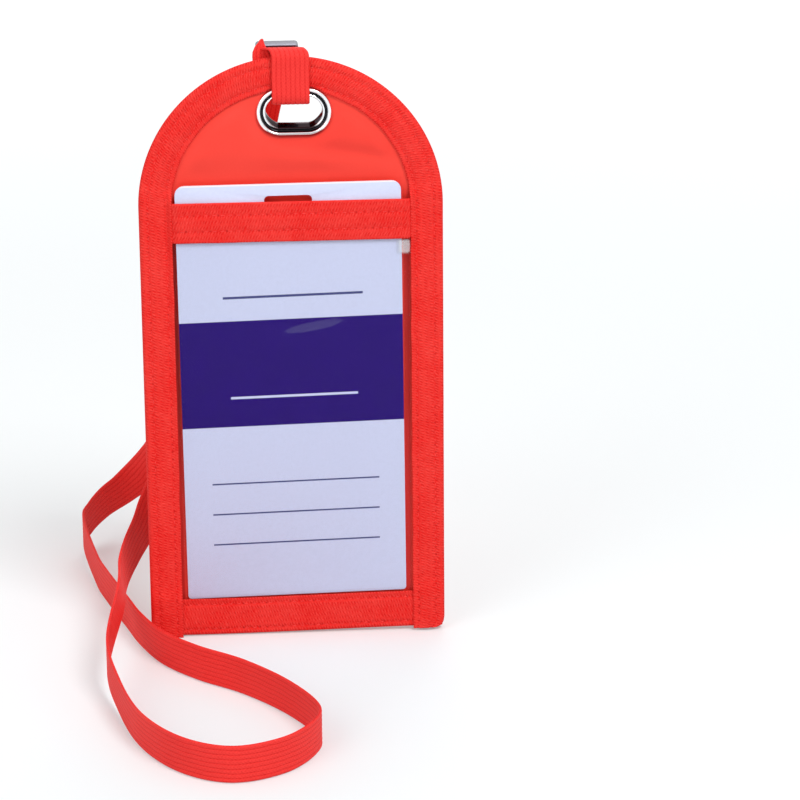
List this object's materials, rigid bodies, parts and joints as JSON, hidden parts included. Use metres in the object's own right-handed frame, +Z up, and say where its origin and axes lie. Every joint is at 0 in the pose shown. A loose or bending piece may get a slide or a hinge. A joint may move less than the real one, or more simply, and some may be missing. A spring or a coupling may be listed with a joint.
{
  "type": "badge holder",
  "caption": "Arch-topped red neck badge holder: clear card window in front, two pockets behind, oval eyelet, flat neck strap held by a bent metal crimp.",
  "frame": {"origin": "the middle of the crimp that closes the strap's loop, level with the pouch's centre line: the place it hangs from", "axes": "+X to the wearer's left (the viewer's right when facing the card), +Y from the card window to the back pockets, +Z up to the eyelet"},
  "size_m": [0.1273, 0.231, 0.2061],
  "materials": {
    "panel": "smooth red vinyl sheet",
    "nonwoven": "dimpled red non-woven cloth",
    "binding": "red woven binding tape with two rows of stitching",
    "strap": "red ribbed half-inch strap",
    "vinyl": "clear vinyl",
    "net": "black hexagonal net",
    "card": "coated card",
    "chrome": "bright plating",
    "steel": "dull plating"
  },
  "bodies": {
    "strap": {"crimp": "steel", "lanyard": "strap"},
    "holder": {"front_panel": "panel", "back_panel": "nonwoven", "window": "vinyl", "window_hem": "binding", "pen_pocket": "nonwoven", "pen_pocket_hem": "binding", "net_pocket": "net", "net_pocket_hem": "binding", "bottom_binding": "binding", "edge_binding": "binding", "eyelet": "chrome", "eyelet_washer": "chrome", "strap_loop": "strap"},
    "card": {"card_insert": "card"}
  },
  "joints": [
    {"name": "holder_swing", "type": "hinge", "parent": "strap", "child": "holder", "pos_m": [0, -0.0088, 0], "axis": [1, 0, 0], "range_deg": [-4, 7]},
    {"name": "card_slide", "type": "slide", "parent": "holder", "child": "card", "axis": [0, -0.0149, 0.9999], "range_m": [0, 0.2]}
  ]
}
